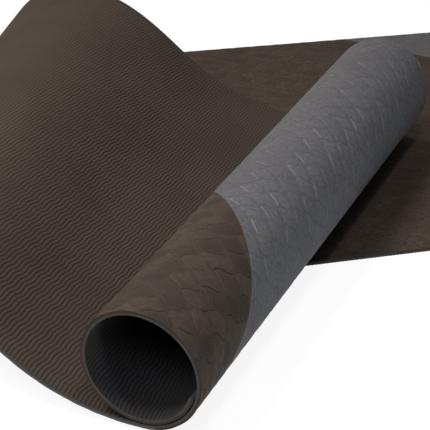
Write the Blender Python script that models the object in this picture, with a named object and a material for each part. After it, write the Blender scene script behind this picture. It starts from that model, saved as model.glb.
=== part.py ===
# A yoga mat, half rolled up, that lies folded back over its own flat end.
#
# A place on the mat is written (s, y, h). s runs along the mat from the line where the roll touches down: it is
# negative round the roll, and positive up the flap, over the fold and along the flat part. y runs across the
# mat, and h is the height over the middle of the sheet, towards its ribbed face. The world's origin is on the
# floor under the middle of the roll's line of touch, +X points from the fold to the roll, and +Y along the roll.

import math

import bmesh
import bpy
import numpy as np
from mathutils import Vector

# The sheet: a ribbed base with coloured top panels bonded on.
MAT_LENGTH = 1.73
MAT_WIDTH = 0.61
THICKNESS = 0.004
BOND_GAP = 0.0003

# The roll, a little wider at its far end.
ROLL_NEAR_RADIUS = 0.05
ROLL_FAR_RADIUS = 0.0565
ROLLED_LENGTH = 0.35
TURN_GAP = 0.0007
PLAIN_TURN_SHARE = 0.5

# The flap rises from the roll, bends over its crest, and turns more tightly under before it lies flat.
RISE_LENGTH = 0.1715
RISE_RAMP_SHARE = 0.12
CREST_LENGTH = 0.356
CREST_ANGLE = math.radians(133.5)
TURN_LENGTH = 0.136
FLAP_CUT_SHARE = 0.2
FLAP_CLEARANCE = 0.0003

# A ruling is a straight line on the bent sheet. It leans from the line straight across the mat, by more and more
# from the roll to the flat part.
ROLL_LEAN_ANGLE = math.radians(6.33)
FLAT_LEAN_ANGLE = math.radians(21.55)

# The top panels meet on diagonals. The first meets the near edge here, the middle one meets the far edge where
# the crest starts, and the last is as far on again.
FIRST_STRIPE = -0.012
STRIPE_LEAN_ANGLE = math.radians(40.33)

# Where the closing of the fold starts to look for its rise, its turn and the bow of its skew.
RISE_GUESS_ANGLE = math.radians(38)
TURN_GUESS_ANGLE = math.radians(96)
BOW_GUESS_SHARE = 0
GUESS_STEP_SHARE = 1e-5
CLOSING_ROUNDS = 12
HALVINGS = 40

# Facets
BEND_STEPS = 96
FACET_ANGLE = math.radians(5)

BROWN = (0.061, 0.051, 0.043, 1.0)
GRAY = (0.114, 0.116, 0.121, 1.0)
TOP_ROUGHNESS = 0.55
BASE_ROUGHNESS = 0.7

HALF_WIDTH = MAT_WIDTH / 2
HALF_THICKNESS = THICKNESS / 2
LAYER = HALF_THICKNESS - BOND_GAP / 2
TURN_STEP = THICKNESS + TURN_GAP
ROLL_SKEW = math.tan(ROLL_LEAN_ANGLE)
FLAT_SKEW = math.tan(FLAT_LEAN_ANGLE)
STRIPE_SKEW = math.tan(STRIPE_LEAN_ANGLE)
FLAP_HEIGHT = THICKNESS + FLAP_CLEARANCE + HALF_THICKNESS
BEND_START = HALF_WIDTH * ROLL_SKEW
CREST_START = BEND_START + RISE_LENGTH
FOLD_END = CREST_START + CREST_LENGTH
FLAP_END = CREST_START + FLAP_CUT_SHARE * CREST_LENGTH
MAT_END = MAT_LENGTH - ROLLED_LENGTH


# The roll

def roll_radius(y):
    share = (y + HALF_WIDTH) / MAT_WIDTH
    return ROLL_NEAR_RADIUS + share * (ROLL_FAR_RADIUS - ROLL_NEAR_RADIUS)


def drawn_in(angle):
    """How many layers the sheet has moved inwards at this angle, and the sum of that from the start."""
    turns, part = divmod(angle / math.tau, 1)
    share = max(part - PLAIN_TURN_SHARE, 0) / (1 - PLAIN_TURN_SHARE)
    layers = turns + share**2 * (3 - 2 * share)
    full_turns = turns * (turns - 1) / 2 + turns * (1 - PLAIN_TURN_SHARE) / 2
    this_turn = turns * part + (1 - PLAIN_TURN_SHARE) * (share**3 - share**4 / 2)
    return layers, math.tau * (full_turns + this_turn)


def rolled(angle, y):
    """The length of mat that is rolled up to this angle."""
    return (roll_radius(y) - HALF_THICKNESS) * angle - TURN_STEP * drawn_in(angle)[1]


def roll_angle(s, y):
    angle = -s / (roll_radius(y) - HALF_THICKNESS)
    for _ in range(CLOSING_ROUNDS):
        radius = roll_radius(y) - HALF_THICKNESS - TURN_STEP * drawn_in(angle)[0]
        angle -= (rolled(angle, y) + s) / radius
    return angle


def roll_place(s, y, h):
    """The sheet goes under the roll, up its right side, over the top and down inside its own start."""
    outer = roll_radius(y)
    angle = roll_angle(s, y)
    radius = outer - HALF_THICKNESS - h - TURN_STEP * drawn_in(angle)[0]
    height = FLAP_HEIGHT - HALF_THICKNESS + outer
    return np.array([radius * math.sin(angle), y, height - radius * math.cos(angle)])


# The flap and the fold: the sheet turns a little about each ruling in its path

def plateau(share):
    return min(max(min(share, 1 - share) / RISE_RAMP_SHARE, 0), 1) / (1 - RISE_RAMP_SHARE)


def hump(share):
    return math.pi / 2 * math.sin(math.pi * min(max(share, 0), 1))


def tight_hump(share):
    return 2 * math.sin(math.pi * min(max(share, 0), 1)) ** 2


class Fold:
    """The bent stretch of the mat, for the angle it rises by, the angle of its turn and the bow of its skew."""

    def __init__(self, rise, turn, bow):
        self.rise = rise
        self.turn = turn
        self.bow = bow
        self.stops = np.linspace(BEND_START, FOLD_END, BEND_STEPS + 1)
        self.frames = [np.eye(4)]
        for start, stop in zip(self.stops[:-1], self.stops[1:]):
            self.frames.append(self.frames[-1] @ self.turned(start, stop))

    def skew(self, ruling):
        share = (ruling - BEND_START) / (FOLD_END - BEND_START)
        return ROLL_SKEW + (FLAT_SKEW - ROLL_SKEW) * share + self.bow * share * (1 - share)

    def bend(self, ruling):
        rise = self.rise * plateau((ruling - BEND_START) / RISE_LENGTH) / RISE_LENGTH
        crest = CREST_ANGLE * hump((ruling - CREST_START) / CREST_LENGTH) / CREST_LENGTH
        turn = self.turn * tight_hump((ruling - FOLD_END + TURN_LENGTH) / TURN_LENGTH) / TURN_LENGTH
        return rise - crest - turn

    def turned(self, start, stop):
        """The turn that the sheet makes between two rulings, about the ruling halfway."""
        middle = (start + stop) / 2
        axis = np.array([-self.skew(middle), 1, 0])
        length = np.linalg.norm(axis)
        x, y, z = axis / length
        angle = self.bend(middle) * (stop - start) / length
        cross = np.array([[0, -z, y], [z, 0, -x], [-y, x, 0]])
        matrix = np.eye(4)
        matrix[:3, :3] += math.sin(angle) * cross + (1 - math.cos(angle)) * cross @ cross
        point = np.array([-middle, 0, FLAP_HEIGHT])
        matrix[:3, 3] = point - matrix[:3, :3] @ point
        return matrix

    def ruling(self, s, y):
        """The ruling through this place on the mat."""
        low, high = BEND_START, FOLD_END
        for _ in range(HALVINGS):
            middle = (low + high) / 2
            low, high = (middle, high) if middle + y * self.skew(middle) < s else (low, middle)
        return (low + high) / 2

    def place(self, s, y, h):
        if s < 0:
            return roll_place(s, y, h)
        ruling = self.ruling(s, y)
        step = (FOLD_END - BEND_START) / BEND_STEPS
        index = min(int((ruling - BEND_START) / step), BEND_STEPS - 1)
        frame = self.frames[index] @ self.turned(self.stops[index], ruling)
        return (frame @ np.array([-s, y, FLAP_HEIGHT + h, 1]))[:3]

    def miss(self):
        """How far the flat part is from lying level, ribs down, on the floor."""
        last = self.frames[-1]
        height = (last @ np.array([-FOLD_END, 0, FLAP_HEIGHT, 1]))[2] - HALF_THICKNESS
        return np.array([last[0, 2], last[1, 2], height / THICKNESS])

    def creases(self):
        """The rulings that split the bent stretch into facets of one angle."""
        found = [BEND_START]
        turned = 0
        for start, stop in zip(self.stops[:-1], self.stops[1:]):
            turned += abs(self.bend((start + stop) / 2)) * (stop - start)
            if turned > FACET_ANGLE:
                found.append(stop)
                turned = 0
        return found


def closed_fold():
    """The fold whose flat part lands on the floor, found by Newton's method."""
    values = np.array([RISE_GUESS_ANGLE, TURN_GUESS_ANGLE, BOW_GUESS_SHARE])
    for _ in range(CLOSING_ROUNDS):
        miss = Fold(*values).miss()
        steps = np.eye(len(values)) * GUESS_STEP_SHARE
        slopes = [(Fold(*(values + step)).miss() - miss) / GUESS_STEP_SHARE for step in steps]
        values = values - np.linalg.solve(np.array(slopes).T, miss)
    return Fold(*values)


fold = closed_fold()


# The panels are cut out flat and then laid along the bent sheet

def across(s):
    return Vector((s, 0, 0)), Vector((1, 0, 0))


def wound(angle):
    """The straight line along the roll at this angle, as it lies on the flat mat."""
    skew = (rolled(angle, -HALF_WIDTH) - rolled(angle, HALF_WIDTH)) / MAT_WIDTH
    return Vector((-rolled(angle, 0), 0, 0)), Vector((1, -skew, 0)).normalized()


def ruled(ruling):
    return Vector((ruling, 0, 0)), Vector((1, -fold.skew(ruling), 0)).normalized()


def diagonal(s):
    """The line that starts here on the near edge and leans back across the mat."""
    return Vector((s, -HALF_WIDTH, 0)), Vector((1, STRIPE_SKEW, 0)).normalized()


def cut(bm, line, offset=0, **clear):
    point, normal = line
    geom = bm.verts[:] + bm.edges[:] + bm.faces[:]
    bmesh.ops.bisect_plane(bm, geom=geom, plane_co=point + normal * offset, plane_no=normal, **clear)


def panel(name, material, bottom, after=(), before=(), creases=()):
    """One layer of one stretch: the mat's rectangle, kept past some lines and short of others."""
    bm = bmesh.new()
    bmesh.ops.create_grid(bm, x_segments=1, y_segments=1, size=1)
    for vert in bm.verts:
        middle = MAT_LENGTH / 2 - ROLLED_LENGTH
        vert.co = (middle + vert.co.x * MAT_LENGTH / 2, vert.co.y * HALF_WIDTH, bottom)
    for line in after:
        cut(bm, line, BOND_GAP / 2, clear_inner=True)
    for line in before:
        cut(bm, line, -BOND_GAP / 2, clear_outer=True)
    for line in creases:
        cut(bm, line)
    top = bmesh.ops.extrude_face_region(bm, geom=bm.faces[:])["geom"]
    raised = [item for item in top if isinstance(item, bmesh.types.BMVert)]
    bmesh.ops.translate(bm, verts=raised, vec=(0, 0, LAYER))
    for vert in bm.verts:
        vert.co = fold.place(*vert.co)
    bmesh.ops.triangulate(bm, faces=bm.faces[:], quad_method="BEAUTY")
    bmesh.ops.recalc_face_normals(bm, faces=bm.faces[:])
    mesh = bpy.data.meshes.new(name)
    bm.to_mesh(mesh)
    bm.free()
    mesh.materials.append(material)
    mesh.shade_smooth()
    mesh.set_sharp_from_angle(angle=FACET_ANGLE * 2)
    obj = bpy.data.objects.new(name, mesh)
    parts.objects.link(obj)
    return obj


def base_panel(name, **cuts):
    return panel(name, base_brown, HALF_THICKNESS - LAYER, **cuts)


def top_panel(name, material, **cuts):
    return panel(name, material, -HALF_THICKNESS, **cuts)


def finish(name, colour, roughness):
    material = bpy.data.materials.new(name)
    material.use_nodes = True
    shader = material.node_tree.nodes["Principled BSDF"]
    shader.inputs["Base Color"].default_value = colour
    shader.inputs["Roughness"].default_value = roughness
    shader.inputs["Metallic"].default_value = 0
    return material


def carry(empty, objects):
    """Parents the objects to the empty and leaves them where they are."""
    for obj in objects:
        obj.parent = empty
        obj.location = -empty.location


for old in list(bpy.data.objects):
    bpy.data.objects.remove(old)

parts = bpy.data.collections.new("yoga_mat")
bpy.context.scene.collection.children.link(parts)

base_brown = finish("base_brown", BROWN, BASE_ROUGHNESS)
top_brown = finish("top_brown", BROWN, TOP_ROUGHNESS)
top_gray = finish("top_gray", GRAY, TOP_ROUGHNESS)

touch_line = across(0)
flap_line = ruled(FLAP_END)
fold_line = ruled(FOLD_END)
crest_corner = CREST_START + fold.skew(CREST_START) * HALF_WIDTH
stripe_step = crest_corner + STRIPE_SKEW * MAT_WIDTH - FIRST_STRIPE
first_stripe = diagonal(FIRST_STRIPE)
middle_stripe = diagonal(FIRST_STRIPE + stripe_step)
last_stripe = diagonal(FIRST_STRIPE + 2 * stripe_step)

# The roll
roll_facets = math.ceil(roll_angle(-ROLLED_LENGTH, -HALF_WIDTH) / FACET_ANGLE)
roll_creases = [wound(index * FACET_ANGLE) for index in range(1, roll_facets)]
roll = [
    base_panel("base_sheet_roll", before=[touch_line], creases=roll_creases),
    top_panel("top_brown_roll", top_brown, before=[touch_line, first_stripe], creases=roll_creases),
    top_panel("top_gray_roll", top_gray, after=[first_stripe], before=[touch_line], creases=roll_creases),
]

# The flap
flap_creases = [ruled(crease) for crease in fold.creases() if crease < FLAP_END]
flap = [
    base_panel("base_sheet_flap", after=[touch_line], before=[flap_line], creases=flap_creases),
    top_panel(
        "top_gray_flap",
        top_gray,
        after=[touch_line, first_stripe],
        before=[flap_line, middle_stripe],
        creases=flap_creases,
    ),
    top_panel(
        "top_brown_flap", top_brown, after=[middle_stripe], before=[flap_line], creases=flap_creases
    ),
]

# The fold
fold_creases = [ruled(crease) for crease in fold.creases() if crease > FLAP_END]
base_panel("base_sheet_fold", after=[flap_line], before=[fold_line], creases=fold_creases)
top_panel(
    "top_gray_fold",
    top_gray,
    after=[flap_line],
    before=[fold_line, middle_stripe],
    creases=fold_creases,
)
top_panel(
    "top_brown_fold",
    top_brown,
    after=[flap_line, middle_stripe],
    before=[fold_line],
    creases=fold_creases,
)

# The flat part
base_panel("base_sheet_flat", after=[fold_line])
top_panel("top_gray_flat", top_gray, after=[fold_line], before=[middle_stripe])
top_panel("top_brown_flat", top_brown, after=[fold_line, middle_stripe], before=[last_stripe])
top_panel("top_gray_corner", top_gray, after=[last_stripe])

# The fold opens about a level line through the middle of its arc, along the bisector of flap and flat part.
arc = [fold.place(ruling, 0, 0) for ruling in fold.stops if ruling > FLAP_END]
flat_direction = fold.place(MAT_END, 0, 0) - fold.place(FOLD_END, 0, 0)
flat_angle = math.atan2(flat_direction[1], flat_direction[0])
axis_angle = (flat_angle + math.pi) / 2
fold_axis = bpy.data.objects.new("fold_axis", None)
parts.objects.link(fold_axis)
fold_axis.location = np.mean(arc, axis=0)
carry(fold_axis, roll + flap)

print("fold axis at", [round(value, 5) for value in fold_axis.location])
print("its direction", round(-math.cos(axis_angle), 5), round(-math.sin(axis_angle), 5), 0)
print("flat part runs at", round(math.degrees(flat_angle), 3), "degrees from +X")
print("rise", round(math.degrees(fold.rise), 2), "turn", round(math.degrees(fold.turn), 2), "bow", fold.bow)
print("stripes start at", [round(stripe[0].x, 4) for stripe in (first_stripe, middle_stripe, last_stripe)])
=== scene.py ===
# A yoga mat, half rolled up, that lies folded back over its own flat end.
#
# Every piece is cut out flat and then bent. A place on the flat mat is (s, y, h): s runs along the mat from the line
# where the roll touches down, negative round the roll and positive up the flap, over the fold and along the flat
# part; y runs across it; h is the height over the middle of the sheet, towards the ribs.

import math

import bmesh
import bpy
import numpy as np
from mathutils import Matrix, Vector


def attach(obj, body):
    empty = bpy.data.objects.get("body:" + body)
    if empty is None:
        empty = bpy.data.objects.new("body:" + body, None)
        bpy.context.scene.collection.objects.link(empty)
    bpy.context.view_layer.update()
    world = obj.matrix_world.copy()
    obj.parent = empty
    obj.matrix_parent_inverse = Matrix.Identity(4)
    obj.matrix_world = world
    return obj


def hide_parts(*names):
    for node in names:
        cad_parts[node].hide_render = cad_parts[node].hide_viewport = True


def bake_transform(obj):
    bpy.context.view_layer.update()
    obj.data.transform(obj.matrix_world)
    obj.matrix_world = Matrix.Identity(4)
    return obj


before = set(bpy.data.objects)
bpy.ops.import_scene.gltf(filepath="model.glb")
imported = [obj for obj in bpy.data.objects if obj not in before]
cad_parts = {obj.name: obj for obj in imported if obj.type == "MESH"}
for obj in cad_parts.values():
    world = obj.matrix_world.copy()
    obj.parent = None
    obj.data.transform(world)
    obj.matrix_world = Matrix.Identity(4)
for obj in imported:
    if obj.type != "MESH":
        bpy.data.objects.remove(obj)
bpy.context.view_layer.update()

mat = dict(length=1.73, width=0.61, thickness=0.004)
halfWidth = mat["width"] / 2
halfThickness = mat["thickness"] / 2


# The roll: a spiral, a little wider at its far end

roll = dict(
    nearRadius=0.05,
    farRadius=0.0565,
    length=0.35,  # of sheet
    turnStep=0.0047,  # from one layer to the next
    plainShare=0.5,  # of each turn, before the sheet starts to move inwards
    lift=0.0003,  # over the flat part
    rounds=12,  # in which the angle is found
)
flapHeight = mat["thickness"] + roll["lift"] + halfThickness  # the middle of the sheet where the roll touches down
sheetStart = -roll["length"]
sheetEnd = mat["length"] - roll["length"]


def rollRadius(y):
    return roll["nearRadius"] + (y + halfWidth) / mat["width"] * (roll["farRadius"] - roll["nearRadius"])


def drawnIn(angle):  # how many layers the sheet has moved inwards, and the sum of that from the start
    plain = roll["plainShare"]
    turns, part = np.divmod(angle / math.tau, 1)
    share = np.maximum(part - plain, 0) / (1 - plain)
    layers = turns + share**2 * (3 - 2 * share)
    fullTurns = turns * (turns - 1) / 2 + turns * (1 - plain) / 2
    thisTurn = turns * part + (1 - plain) * (share**3 - share**4 / 2)
    return layers, math.tau * (fullTurns + thisTurn)


def bendRoll(s, y, h):
    start = rollRadius(y) - halfThickness
    angle = -s / start
    for _ in range(roll["rounds"]):
        layers, total = drawnIn(angle)
        angle = angle - (start * angle - roll["turnStep"] * total + s) / (start - roll["turnStep"] * layers)
    radius = start - h - roll["turnStep"] * drawnIn(angle)[0]
    height = flapHeight - halfThickness + rollRadius(y)
    return np.stack([radius * np.sin(angle), y, height - radius * np.cos(angle)], axis=-1)


# The fold: the sheet turns a little about each of its straight lines, its rulings, until it lies flat on the floor

fold = dict(
    rollSkew=math.tan(math.radians(6.33)),  # how the rulings slant at the roll, and at the flat part
    flatSkew=math.tan(math.radians(21.55)),
    riseLength=0.1715,  # where the flap bends upwards
    riseRamp=0.12,
    crestLength=0.356,  # where it bends over
    crestAngle=math.radians(133.5),
    turnLength=0.136,  # where it bends on and meets the floor, the last part of the crest
    flapShare=0.2,  # of the crest, which belongs to the flap
    steps=192,
    halvings=36,  # in which the ruling through a place is found
)
bendStart = halfWidth * fold["rollSkew"]
crestStart = bendStart + fold["riseLength"]
foldEnd = crestStart + fold["crestLength"]
flapEnd = crestStart + fold["flapShare"] * fold["crestLength"]
stops = np.linspace(bendStart, foldEnd, fold["steps"] + 1)


def skewAt(ruling, bow):
    share = (ruling - bendStart) / (foldEnd - bendStart)
    return fold["rollSkew"] + (fold["flatSkew"] - fold["rollSkew"]) * share + bow * share * (1 - share)


def bendAt(ruling, rise, turn):
    along = (ruling - bendStart) / fold["riseLength"]
    plateau = np.clip(np.minimum(along, 1 - along) / fold["riseRamp"], 0, 1) / (1 - fold["riseRamp"])
    over = np.clip((ruling - crestStart) / fold["crestLength"], 0, 1)
    under = np.clip((ruling - foldEnd + fold["turnLength"]) / fold["turnLength"], 0, 1)
    crest = fold["crestAngle"] * math.pi / 2 * np.sin(math.pi * over) / fold["crestLength"]
    tight = turn * 2 * np.sin(math.pi * under) ** 2 / fold["turnLength"]
    return rise * plateau / fold["riseLength"] - crest - tight


def turnAbout(points, start, stop, closing):  # turns points about the ruling halfway between two others
    rise, turn, bow = closing
    middle = (start + stop) / 2
    skew = skewAt(middle, bow)
    length = np.sqrt(skew**2 + 1)
    axis = np.stack([-skew, np.ones_like(skew), np.zeros_like(skew)], axis=-1) / length[..., None]
    angle = (bendAt(middle, rise, turn) * (stop - start) / length)[..., None]
    centre = np.stack([-middle, np.zeros_like(middle), np.full_like(middle, flapHeight)], axis=-1)
    arm = points - centre
    along = (axis * arm).sum(axis=-1, keepdims=True) * axis
    return centre + along + (arm - along) * np.cos(angle) + np.cross(axis, arm) * np.sin(angle)


def framesOf(closing):  # where the sheet's own corner and its three directions go, ruling by ruling
    corner = np.array([[0, 0, 0], [1, 0, 0], [0, 1, 0], [0, 0, 1]], float)
    frames = [corner]
    for start, stop in zip(stops[:-1], stops[1:]):
        moved = turnAbout(corner, np.full(4, start), np.full(4, stop), closing)
        moved[1:] -= moved[0]
        base, directions = frames[-1][0], frames[-1][1:]
        frames.append(np.vstack([base + moved[0] @ directions, moved[1:] @ directions]))
    return np.array(frames)


def missOf(closing):  # how far the flat part is from lying level on the floor
    last = framesOf(closing)[-1]
    height = (last[0] + np.array([-foldEnd, 0, flapHeight]) @ last[1:])[2] - halfThickness
    return np.array([last[3, 0], last[3, 1], height / mat["thickness"]])


def closeFold(closing, rounds=8, nudge=1e-5):  # finds the rise, the turn and the bow that bring it there
    for _ in range(rounds):
        miss = missOf(closing)
        slopes = np.array([(missOf(closing + step) - miss) / nudge for step in np.eye(3) * nudge]).T
        closing = closing - np.linalg.solve(slopes, miss)
    return closing


closing = closeFold(np.array([math.radians(38), math.radians(95), 0]))
frames = framesOf(closing)
print("fold closed:", missOf(closing))


def bendFold(s, y, h):
    low = np.full_like(s, bendStart)
    high = np.full_like(s, foldEnd)
    for _ in range(fold["halvings"]):
        middle = (low + high) / 2
        short = middle + y * skewAt(middle, closing[2]) < s
        low, high = np.where(short, middle, low), np.where(short, high, middle)
    index = np.clip(np.searchsorted(stops, low, side="right") - 1, 0, fold["steps"] - 1)
    points = np.stack([-s, y, flapHeight + h], axis=-1)
    points = turnAbout(points, stops[index], low, closing)
    return frames[index, 0] + np.einsum("ni,nij->nj", points, frames[index, 1:])


def bend(flat):
    s, y, h = flat.T
    return np.where((s < 0)[:, None], bendRoll(np.minimum(s, 0), y, h), bendFold(np.maximum(s, 0), y, h))


# Where the sheet is cut: a line is a point and the direction straight across it

stripes = dict(first=-0.012, skew=math.tan(math.radians(40.33)))


def across(s):
    return Vector((s, 0, 0)), Vector((1, 0, 0))


def ruled(ruling):
    return Vector((ruling, 0, 0)), Vector((1, -skewAt(ruling, closing[2]), 0)).normalized()


def diagonal(s):
    return Vector((s, -halfWidth, 0)), Vector((1, stripes["skew"], 0)).normalized()


crestCorner = crestStart + skewAt(crestStart, closing[2]) * halfWidth
stripeStep = crestCorner + stripes["skew"] * mat["width"] - stripes["first"]
firstStripe = diagonal(stripes["first"])
middleStripe = diagonal(stripes["first"] + stripeStep)
lastStripe = diagonal(stripes["first"] + 2 * stripeStep)
matStart = across(sheetStart)
matEnd = across(sheetEnd)
touchLine = across(0)
flapLine = ruled(flapEnd)
foldLine = ruled(foldEnd)


# Materials: a wire is a socket that can be added, multiplied and so on

class Wire:
    def __init__(self, nodes, socket):
        self.nodes = nodes
        self.socket = socket

    def other(self, name):  # another output of the same node
        return Wire(self.nodes, self.socket.node.outputs[name])

    def math(self, operation, second=0):
        return self.nodes.math(operation, self, second)

    def __add__(self, other):
        return self.math("ADD", other)

    __radd__ = __add__

    def __sub__(self, other):
        return self.math("SUBTRACT", other)

    def __rsub__(self, other):
        return self.nodes.math("SUBTRACT", other, self)

    def __mul__(self, other):
        return self.math("MULTIPLY", other)

    __rmul__ = __mul__

    def __truediv__(self, other):
        return self.math("DIVIDE", other)

    def __mod__(self, other):
        return self.math("FLOORED_MODULO", other)


class Nodes:  # those of a material or of the world
    def __init__(self, owner):
        owner.use_nodes = True
        self.tree = owner.node_tree

    def node(self, kind, settings={}, sockets={}, out=0):
        node = self.tree.nodes.new("ShaderNode" + kind)
        for key, value in settings.items():
            setattr(node, key, value)
        for key, value in sockets.items():
            self.plug(node.inputs[key], value)
        return Wire(self, node.outputs[out]) if len(node.outputs) else None

    def plug(self, socket, value):
        if isinstance(value, Wire):
            self.tree.links.new(value.socket, socket)
        else:
            socket.default_value = value

    def math(self, operation, first, second):
        return self.node("Math", {"operation": operation}, {0: first, 1: second})

    def showWhite(self, output, unseen, seen):  # seen is for the camera and for what shows in gloss and glass
        path = self.node("LightPath", out="Is Camera Ray")
        direct = path.math("MAXIMUM", path.other("Is Glossy Ray")).math("MAXIMUM", path.other("Is Transmission Ray"))
        choice = self.node("MixShader", {}, {0: direct, 1: unseen, 2: seen})
        self.node(output, {}, {"Surface": choice})


noiseReach = (0.3, 0.7)  # what most of a noise lies between


class Finish(Nodes):
    def __init__(self, look):
        self.material = bpy.data.materials.new(look["name"])
        super().__init__(self.material)
        self.look = look
        self.shader = self.tree.nodes["Principled BSDF"]
        self.set("Specular IOR Level", look["specular"])

    def set(self, name, value):
        self.plug(self.shader.inputs[name], value)

    def place(self):  # the flat mat's own map, and s and y on it in metres
        flat = self.node("UVMap", {"uv_map": "flat"})
        s = self.node("SeparateXYZ", {}, {0: flat}, "X")
        return flat, s, s.other("Y")

    def noise(self, vector, scale, detail=2, roughness=0.5):
        sockets = {"Vector": vector, "Scale": scale, "Detail": detail, "Roughness": roughness}
        return self.node("TexNoise", {}, sockets)

    def chance(self, *numbers):  # the same by chance wherever the numbers are the same
        vector = self.node("CombineXYZ", {}, dict(enumerate(numbers)))
        return self.node("TexWhiteNoise", {"noise_dimensions": f"{len(numbers)}D"}, {"Vector": vector})

    def ease(self, value, low, high, start=0, end=1):
        sockets = {0: value, 1: low, 2: high, 3: start, 4: end}
        return self.node("MapRange", {"interpolation_type": "SMOOTHSTEP"}, sockets)

    def within(self, value, reach):  # 1 in the middle of a strand, 0 at its edge
        return self.ease(value, 0, reach)

    def mix(self, share, first, second):
        return self.node("Mix", {"data_type": "RGBA"}, {"Factor": share, 6: first, 7: second}, 2)

    def roughen(self, grain):
        rough, spread = self.look["roughness"], self.look["roughSpread"]
        self.set("Roughness", self.ease(grain, *noiseReach, rough - spread, rough + spread))

    def bump(self, height, distance):
        self.set("Normal", self.node("Bump", {}, {"Strength": 1, "Distance": distance, "Height": height}))


def shade(red, green, blue):  # a colour as a picture editor shows it
    return tuple(((value / 255 + 0.055) / 1.055) ** 2.4 for value in (red, green, blue)) + (1.0,)


# The ribs of the base, and the plain cut edges of both layers

ribs = dict(
    pitch=0.00368,
    depth=0.0006,
    wave=0.0214,
    sway=0.00066,
    trimFrom=0.9999,  # of the half width: the ribs are pressed half flat where the mat is cut to its width
)


def ribbedFinish(look):
    finish = Finish(look)
    flat, s, y = finish.place()
    cloudy = finish.ease(finish.noise(flat, look["cloudScale"], 3), *noiseReach)
    grain = finish.noise(flat, look["grainScale"], 2, 0.6)
    colour = finish.mix(cloudy, look["dark"], look["light"])
    colour = finish.mix(finish.ease(grain, *look["wornReach"]), colour, look["worn"])
    if "groove" in look:
        swing = (math.tau / ribs["wave"] * y).math("SINE")
        rib = (s - ribs["sway"] * swing) / ribs["pitch"]
        groove = 1 - finish.ease(rib.math("PINGPONG", 0.5), 0, look["grooveWidth"])
        # the grooves between the ribs are painted shade, deeper on the roll and the low flap and lighter further
        # along
        grooveShade = groove * finish.ease(s, *look["cleanFrom"], *look["grooveTones"])
        colour = finish.mix(grooveShade, colour, look["groove"])
    finish.set("Base Color", colour)
    finish.roughen(grain)
    finish.bump(grain, look["grainDepth"])
    return finish.material


plainLook = dict(specular=0.06, roughSpread=0.06, wornReach=(0.35, 0.75, 0, 0.35))
# in the ribbed looks, groove is the colour of the painted shade in the rib grooves
ribLook = dict(
    plainLook, name="ribbed_brown", roughness=0.8, dark=shade(66, 57, 50), light=shade(75, 66, 58),
    worn=shade(88, 80, 72), groove=shade(38, 32, 27), grooveWidth=0.3, grooveTones=(0.85, 0.6), cleanFrom=(0.1, 0.28),
    cloudScale=9, grainScale=900, grainDepth=0.00008,
)
edgeLook = dict(plainLook, roughness=0.85, cloudScale=30, grainScale=1400, grainDepth=0.0001)
ribbedBrown = ribbedFinish(ribLook)
# inside the roll the ribbed base is a darker, bluer copy of the ribbed brown: painted shade
shadedRibbedInside = ribbedFinish(dict(  # in the roll
    ribLook, name="ribbed_inside_shaded", dark=shade(56, 53, 53), light=shade(64, 61, 61), worn=shade(74, 70, 70),
    groove=shade(38, 36, 36),
))
cutEdges = {
    "base_brown": ribbedFinish(dict(
        edgeLook, name="base_edge", dark=shade(68, 66, 62), light=shade(77, 75, 71), worn=shade(88, 86, 82),
    )),
    "top_brown": ribbedFinish(dict(
        edgeLook, name="brown_edge", dark=shade(58, 51, 45), light=shade(66, 58, 52), worn=shade(74, 66, 59),
    )),
    "top_gray": ribbedFinish(dict(
        edgeLook, name="gray_edge", dark=shade(84, 84, 86), light=shade(93, 93, 95), worn=shade(104, 104, 106),
    )),
}


# The weave of the top panels: strands that pass over and under each other, one to a cell

emboss = dict(
    cell=0.0187,
    lean=0.1,
    shift=(1.7, -0.18),
    sway=0.05,  # of a cell, as the other lengths from here on are
    wander=(1.7, 0.9, 0.61, 0.83, -0.4),
    drift=(1.9, 1.1, 0.53, 0.77, 1.3),
    curl=0.09,
    lesserCurl=0.15,  # of the curl
    bevel=0.15,
    dive=0.35,
    depth=0.00025,  # in metres
)
marks = dict(
    strandTip=0.2,  # of a strand's length, over which its lines and strokes fade out
    creaseScale=60, creaseBreaks=(0.38, 0.54), creasePlain=0.35, creaseFrom=0.02, creaseBevels=0.6, creaseTip=0.15,
    strandScale=90, lineReach=(0.2, 0.9), linePlain=0.4,
    strokeFrom=0.07, strokeAt=0.13, strokeTo=0.19, strokeTurned=0.8, highlightBandReach=(0.012, 0.03),
    padPlain=0.55, padChance=0.25, padBlotch=0.2,
    blotchReach=(0.3, 0.75), mottleReach=(0.35, 0.65), cloudShare=0.4, grainHeight=0.1,
)


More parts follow.
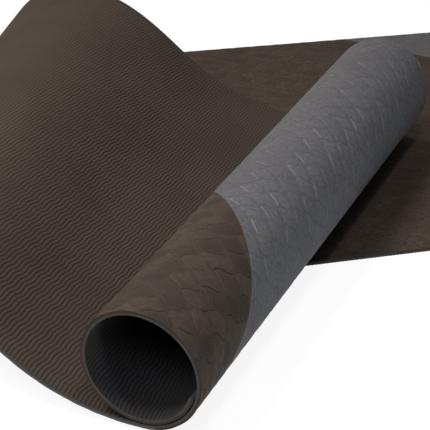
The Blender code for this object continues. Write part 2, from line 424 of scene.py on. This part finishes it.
def embossedFinish(look):
    finish = Finish(look)
    flat, s, _ = finish.place()
    weave = finish.node("UVMap", {"uv_map": "weave"})
    first = finish.node("SeparateXYZ", {}, {0: weave}, "X")
    second = first.other("Y")
    firstCell = first.math("FLOOR")
    secondCell = second.math("FLOOR")
    firstPart = first - firstCell
    secondPart = second - secondCell
    turned = (firstCell + secondCell) % 2
    along = firstPart * turned + secondPart * (1 - turned)
    across = secondPart * turned + firstPart * (1 - turned)
    tip = along.math("MINIMUM", 1 - along)
    side = across.math("MINIMUM", 1 - across)
    bevel = finish.within(side, emboss["bevel"])
    dive = finish.within(tip, emboss["dive"])

    cellTone = finish.chance(firstCell, secondCell)
    grain = finish.noise(flat, look["grainScale"], 2, 0.6)
    mottle = finish.noise(flat, look["mottleScale"], 3, 0.65)
    cloudy = finish.ease(finish.noise(flat, look["cloudScale"], 3), *noiseReach)
    blotch = finish.ease(finish.noise(flat, look["blotchScale"], 3, 0.6), *marks["blotchReach"])

    # The creases beside a strand, broken here and there: painted shade, stronger beside the turned strands
    broken = finish.ease(finish.noise(flat, marks["creaseScale"]), *marks["creaseBreaks"])
    broken = broken * (marks["creasePlain"] + (1 - marks["creasePlain"]) * turned)
    crease = broken * (1 - finish.ease(side, marks["creaseFrom"], emboss["bevel"] * marks["creaseBevels"]))
    crease = crease * finish.within(tip, marks["creaseTip"])

    # The fine lines along a strand
    wavy = finish.noise(flat, marks["strandScale"]) - 0.5
    strand = (across + look["sway"] * wavy) * look["strands"]
    chance = finish.chance(firstCell, secondCell, strand.math("FLOOR"))
    line = finish.ease(strand.math("PINGPONG", 0.5) * 2, *marks["lineReach"]) * bevel
    line = line * finish.within(tip, marks["strandTip"]) * (marks["linePlain"] + (1 - marks["linePlain"]) * chance)

    # The pale strokes along one edge of a strand are painted highlights, strongest in one band across the mat, on the
    # roll, where the light catches them
    stroke = finish.ease(across, marks["strokeFrom"], marks["strokeAt"])
    stroke = stroke * (1 - finish.ease(across, marks["strokeAt"], marks["strokeTo"]))
    stroke = stroke * finish.within(tip, marks["strandTip"]) * (1 - marks["strokeTurned"] * turned)
    fromHighlightBand = (s - look["highlightBandAt"]).math("ABSOLUTE")
    pale = stroke * finish.ease(cellTone, 0, 1, look["paleFrom"], 1)
    pale = pale * finish.ease(fromHighlightBand, *marks["highlightBandReach"], 1, look["paleBeyond"])

    # The darker pads in the middle of some strands
    pad = finish.within(tip.math("MINIMUM", side), look["padEdge"]) * finish.ease(cellTone, *look["padCells"], 1, 0)
    pad = pad * (marks["padPlain"] + marks["padChance"] * chance + marks["padBlotch"] * blotch)
    shaded = (pad * look["padTone"]).math("MAXIMUM", blotch * look["blotchTone"])

    tone = marks["cloudShare"] * cloudy + (1 - marks["cloudShare"]) * cellTone
    colour = finish.mix(tone, look["dark"], look["light"])
    colour = finish.mix(shaded, colour, look["shaded"])
    colour = finish.mix(finish.ease(mottle, *marks["mottleReach"]) * look["mottleTone"], colour, look["mottled"])
    colour = finish.mix(line * look["lineTone"], colour, look["worn"])
    # the pale strokes are painted highlights
    colour = finish.mix(pale * look["paleTone"], colour, look["pale"])
    # the creases take the groove colour as painted shade
    colour = finish.mix(crease * look["creaseTone"], colour, look["groove"])
    finish.set("Base Color", colour)
    finish.roughen(grain)
    height = bevel * dive + line * look["lineHeight"] + mottle * look["mottleHeight"] + grain * marks["grainHeight"]
    finish.bump(height, look["depth"])
    return finish.material


# the pale strokes are painted highlights, strongest in a band across the roll where the light catches them
topLook = dict(
    roughness=0.75, roughSpread=0.05, specular=0.06, strands=9, sway=0.3, lineTone=0.4, lineHeight=0.2,
    paleTone=0.35, paleFrom=0.2, highlightBandAt=-0.1255, paleBeyond=0.4, creaseTone=0.9, padTone=1, padEdge=0.2,
    padCells=(0.3, 0.7), blotchTone=0.4, blotchScale=60, mottleTone=0.7, mottleScale=230, mottleHeight=0.5,
    depth=0.00025, cloudScale=14, grainScale=1100,
)
# groove is the colour of the painted shade in the creases, and pale that of the painted highlight strokes
brownLook = dict(
    topLook, dark=shade(70, 61, 53), light=shade(80, 70, 61), worn=shade(86, 77, 69), pale=shade(90, 80, 72),
    groove=shade(38, 32, 27), shaded=shade(46, 39, 36), mottled=shade(60, 52, 46),
)
grayLook = dict(
    topLook, dark=shade(98, 97, 99), light=shade(108, 107, 109), worn=shade(116, 116, 118), pale=shade(140, 140, 145),
    groove=shade(78, 77, 80), shaded=shade(88, 88, 91), mottled=shade(80, 81, 84), creaseTone=0.5, padTone=0.45,
    paleTone=0.65, paleBeyond=0.55, mottleTone=0.75, mottleScale=280, depth=0.00024,
)
topBrown = embossedFinish(dict(brownLook, name="embossed_brown"))
flatBrown = embossedFinish(dict(  # on the part that lies flat: a lighter ground, dark pads on more of its strands, and fainter creases
    brownLook, name="flat_brown", specular=0.03, light=shade(88, 78, 68), shaded=shade(50, 38, 36),
    pale=shade(100, 94, 84), creaseTone=0.25, padEdge=0.45, padCells=(0, 1), padTone=0.85, blotchScale=110,
    paleBeyond=1, lineTone=0.25, mottleTone=0.8, depth=0.00018,
))
topGray = embossedFinish(dict(grayLook, name="embossed_gray"))
flatGray = embossedFinish(dict(
    grayLook, name="flat_gray", mottleTone=0.3, paleTone=0.25, padTone=0.2, creaseTone=0.35,
))
print("materials made")


# The pieces: first a flat sheet with its ribs, or one that takes the weave, then cut, closed at its rim and bent

def ribbedSheet(start, end, rowsPerRib, columnsPerWave):
    step = ribs["pitch"] / rowsPerRib
    firstRow = math.floor(start / step) - 2
    rows = math.ceil(end / step) + 2 - firstRow
    columns = round(mat["width"] / ribs["wave"] * columnsPerWave)
    bm = bmesh.new()
    bmesh.ops.create_grid(bm, x_segments=rows, y_segments=columns, size=1)
    for vert in bm.verts:
        row = firstRow + round((vert.co.x + 1) / 2 * rows)
        y = vert.co.y * halfWidth
        ridge = abs(math.sin(math.pi * (row % rowsPerRib) / rowsPerRib))
        if abs(vert.co.y) > ribs["trimFrom"]:
            ridge = (1 + ridge) / 2
        vert.co.x = row * step + ribs["sway"] * math.sin(math.tau * y / ribs["wave"])
        vert.co.y = y
        vert.co.z = halfThickness - ribs["depth"] * (1 - ridge)
    bmesh.ops.reverse_faces(bm, faces=bm.faces[:])
    return bm


def plainSheet(start, end, step):
    rows = math.ceil((end - start) / step)
    columns = math.ceil(mat["width"] / step)
    bm = bmesh.new()
    bmesh.ops.create_grid(bm, x_segments=rows, y_segments=columns, size=1)
    for vert in bm.verts:
        vert.co.x = start + (vert.co.x + 1) / 2 * (end - start)
        vert.co.y = vert.co.y * halfWidth
        vert.co.z = -halfThickness
    return bm


def waver(along, across, quick, reach, slow, even, offset):  # a wander to both sides that doesn't soon repeat
    return np.sin(quick * across + reach * np.sin(slow * along)) + np.sin(even * along + offset)


def weaveAt(s, y):  # the diagonal basket weave on the top side, in cells, with a little wander
    along, across = s + emboss["lean"] * y, y - emboss["lean"] * s
    first = (along + across) / emboss["cell"] / math.sqrt(2) + emboss["shift"][0]
    second = (along - across) / emboss["cell"] / math.sqrt(2) + emboss["shift"][1]
    wander = emboss["sway"] * waver(first, second, *emboss["wander"])
    drift = emboss["sway"] * waver(second, first, *emboss["drift"])
    wander += emboss["curl"] * emboss["lesserCurl"] * np.sin(math.tau * second)
    drift += emboss["curl"] * np.sin(math.tau * first)
    return np.stack([first + wander, second + drift], axis=-1)


def strandHeight(weave):  # 1 on top of a strand, 0 along its sides and where it dives under at its ends
    cell = np.floor(weave)
    part = weave - cell
    gap = np.minimum(part, 1 - part)
    turned = cell.sum(axis=1) % 2 > 0.5
    tip, side = np.where(turned, gap.T, gap.T[::-1])
    bevel = np.clip(side / emboss["bevel"], 0, 1)
    dive = np.clip(tip / emboss["dive"], 0, 1)
    return bevel**2 * (3 - 2 * bevel) * dive**2 * (3 - 2 * dive)


def cut(bm, line, **clear):
    point, normal = line
    geom = bm.verts[:] + bm.edges[:] + bm.faces[:]
    bmesh.ops.bisect_plane(bm, geom=geom, dist=1e-7, plane_co=point, plane_no=normal, **clear)


def closeRim(bm):  # down to the middle of the sheet, where the two layers meet
    rim = [edge for edge in bm.edges if edge.is_boundary]
    for edge in rim:
        edge.smooth = False
    for item in bmesh.ops.extrude_edge_only(bm, edges=rim)["geom"]:
        if isinstance(item, bmesh.types.BMVert):
            item.co.z = 0
        elif isinstance(item, bmesh.types.BMFace):
            item.material_index = 1


def addMap(mesh, name, places):
    corner = np.empty(len(mesh.loops), int)
    mesh.loops.foreach_get("vertex_index", corner)
    mesh.uv_layers.new(name=name).data.foreach_set("uv", places[corner].ravel())


madePieces = []


def finishPiece(bm, name, node, slot, material, after=(), before=()):
    for line in after:
        cut(bm, line, clear_inner=True)
    for line in before:
        cut(bm, line, clear_outer=True)
    area = sum(face.calc_area() * abs(face.normal.z) for face in bm.faces)
    closeRim(bm)
    mesh = bpy.data.meshes.new(name)
    bm.to_mesh(mesh)
    bm.free()
    flat = np.empty(len(mesh.vertices) * 3)
    mesh.vertices.foreach_get("co", flat)
    flat = flat.reshape(-1, 3)
    addMap(mesh, "flat", flat[:, :2])
    if slot != "base_brown":
        weave = weaveAt(flat[:, 0], flat[:, 1])
        addMap(mesh, "weave", weave)
        flat[:, 2] += np.where(flat[:, 2] < 0, emboss["depth"] * (1 - strandHeight(weave)), 0)
    mesh.vertices.foreach_set("co", bend(flat).ravel())
    mesh.update()
    mesh.shade_smooth()
    mesh.materials.append(material)
    mesh.materials.append(cutEdges[slot])
    piece = bpy.data.objects.new(name, mesh)
    bpy.context.scene.collection.objects.link(piece)
    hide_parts(node)
    madePieces.append(piece)
    print(name, "made:", len(mesh.polygons), "faces,", round(area, 4), "square metres")
    size = flat.max(axis=0) - flat.min(axis=0)
    return piece, dict(flat=(float(size[1]), float(size[0])), area=min(area, float(size[0] * size[1])))


spare = dict(flap=0.09, fold=0.13)  # how far a grid reaches past a slanting cut
flapReach = (flapEnd - spare["flap"], flapEnd + spare["flap"])
foldReach = (foldEnd - spare["fold"], foldEnd + spare["fold"])

# The ribbed base sheet
fineRibs = dict(rowsPerRib=4, columnsPerWave=8)
coarseRibs = dict(rowsPerRib=3, columnsPerWave=5)
ribbedRoll, cutRoll = finishPiece(
    ribbedSheet(sheetStart, 0, **fineRibs), "ribbed_roll", "base_sheet_roll", "base_brown", shadedRibbedInside,
    after=[matStart], before=[touchLine],
)
ribbedFlap, cutFlap = finishPiece(
    ribbedSheet(0, flapReach[1], **fineRibs), "ribbed_flap", "base_sheet_flap", "base_brown", ribbedBrown,
    after=[touchLine], before=[flapLine],
)
ribbedFold, cutFold = finishPiece(
    ribbedSheet(flapReach[0], foldReach[1], **fineRibs), "ribbed_fold", "base_sheet_fold", "base_brown", ribbedBrown,
    after=[flapLine], before=[foldLine],
)
ribbedFlat, cutFlat = finishPiece(
    ribbedSheet(foldReach[0], sheetEnd, **coarseRibs), "ribbed_flat", "base_sheet_flat", "base_brown", ribbedBrown,
    after=[foldLine], before=[matEnd],
)

# The coloured top panels
rollGrid, looseGrid = 0.0015, 0.0024
topPanels = {  # the sheet, its finish, and the lines that it is cut after and before
    "brown_roll": ((sheetStart, 0, rollGrid), topBrown, [], [touchLine, firstStripe]),
    "gray_roll": ((sheetStart, 0, rollGrid), topGray, [firstStripe], []),
    "gray_flap": ((0, flapReach[1], looseGrid), topGray, [firstStripe], [flapLine, middleStripe]),
    "brown_flap": ((0, flapReach[1], looseGrid), topBrown, [middleStripe], [flapLine]),
    "gray_fold": ((flapReach[0], foldReach[1], looseGrid), topGray, [flapLine], [foldLine, middleStripe]),
    "brown_fold": ((flapReach[0], foldReach[1], looseGrid), flatBrown, [flapLine, middleStripe], [foldLine]),
    "gray_flat": ((foldReach[0], sheetEnd, looseGrid), flatGray, [foldLine], [middleStripe]),
    "brown_flat": ((foldReach[0], sheetEnd, looseGrid), flatBrown, [foldLine, middleStripe], [lastStripe]),
    "gray_corner": ((foldEnd, sheetEnd, looseGrid), flatGray, [lastStripe], []),
}
topPieces = {}
for name, (sheet, material, after, before) in topPanels.items():
    slot = "top_" + name.split("_")[0]
    topPieces[name] = finishPiece(plainSheet(*sheet), name, "top_" + name, slot, material, after, before)

for piece in madePieces:
    if piece.name.endswith("fold"):  # it bends between the flat part and the flap
        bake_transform(piece)
    elif piece.name.endswith(("roll", "flap")):
        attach(piece, "rolled_flap")
    else:
        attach(piece, "flat_part")

backing = {"roll": "ribbed_roll", "flap": "ribbed_flap", "fold": "ribbed_fold", "flat": "ribbed_flat"}
for name, (piece, cutSize) in topPieces.items():
    under = backing.get(name.split("_")[1], "ribbed_flat")
    "laid" if under == "ribbed_flat" else "folded"
print("pieces placed")


# The floor, the light and the camera

warm, cool = (1, 0.944, 0.919), (0.784, 0.883, 1)
studio = dict(
    floorSize=3,
    floorColour=(0.9, 0.9, 0.9, 1),  # for the light that it throws on the mat
    shownColour=(0.2, 0.2, 0.2, 1),  # for the shadow that is seen on it
    glowReach=(0.9, 2.2, 0.9, 1),  # two distances, and how white the floor is shown at each
    ambient=0.01,
    ambientColour=(0.86, 0.93, 1, 1),
    lamps={  # place, size, power and colour of each
        "overhead": ((0.24, -0.3, 1.3), 0.1, 3.6, warm),
        "left": ((-0.6, -0.46, 1.3), 0.4, 11.4, warm),
        "leftBack": ((-0.75, 0.4, 1.2), 0.6, 6, warm),
        "leftNear": ((-0.45, -1, 0.8), 0.4, 1.2, warm),
        "right": ((1.35, -0.65, 0.1), 0.16, 4.1, cool),
        "front": ((0.15, -0.8, 0.7), 0.3, 1.9, cool),
    },
)

bm = bmesh.new()
bmesh.ops.create_grid(bm, x_segments=1, y_segments=1, size=studio["floorSize"])
floorMesh = bpy.data.meshes.new("floor")
bm.to_mesh(floorMesh)
bm.free()
floor = bpy.data.objects.new("floor", floorMesh)
bpy.context.scene.collection.objects.link(floor)
floorMaterial = bpy.data.materials.new("pale_floor")
floorMesh.materials.append(floorMaterial)
nodes = Nodes(floorMaterial)
nodes.tree.nodes.clear()
plain = nodes.node("BsdfDiffuse", {}, {"Color": studio["floorColour"]})
shown = nodes.node("BsdfDiffuse", {}, {"Color": studio["shownColour"]})
distance = nodes.node("VectorMath", {"operation": "LENGTH"}, {0: nodes.node("TexCoord", out="Object")}, "Value")
fade = nodes.node("MapRange", {}, dict(enumerate((distance, *studio["glowReach"]))))
glow = nodes.node("Emission", {}, {"Color": fade})
nodes.showWhite("OutputMaterial", plain, nodes.node("AddShader", {}, {0: shown, 1: glow}))

world = bpy.data.worlds.new("studio")
bpy.context.scene.world = world
nodes = Nodes(world)
nodes.tree.nodes.clear()
ambient = nodes.node("Background", {}, {"Color": studio["ambientColour"], "Strength": studio["ambient"]})
nodes.showWhite("OutputWorld", ambient, nodes.node("Background", {}, {"Color": (1, 1, 1, 1)}))

for name, (place, size, power, colour) in studio["lamps"].items():
    lampData = bpy.data.lights.new(name, "AREA")
    lampData.shape = "DISK"
    lampData.size = size
    lampData.energy = power
    lampData.color = colour
    lamp = bpy.data.objects.new(name, lampData)
    lamp.location = place
    lamp.rotation_euler = (-Vector(place)).to_track_quat("-Z", "Y").to_euler()
    bpy.context.scene.collection.objects.link(lamp)

view = dict(place=(0.3228, -0.9083, 0.529), azimuth=23.54, elevation=27.07, lens=96.1, sensor=36, nearest=0.01)
cameraData = bpy.data.cameras.new("camera")
cameraData.lens = view["lens"]
cameraData.sensor_width = view["sensor"]
cameraData.clip_start = view["nearest"]
camera = bpy.data.objects.new("camera", cameraData)
camera.location = view["place"]
camera.rotation_euler = (math.radians(90 - view["elevation"]), 0, math.radians(view["azimuth"]))
bpy.context.scene.collection.objects.link(camera)
bpy.context.scene.camera = camera
bpy.context.scene.view_settings.view_transform = "Standard"
print("floor, light and camera set")
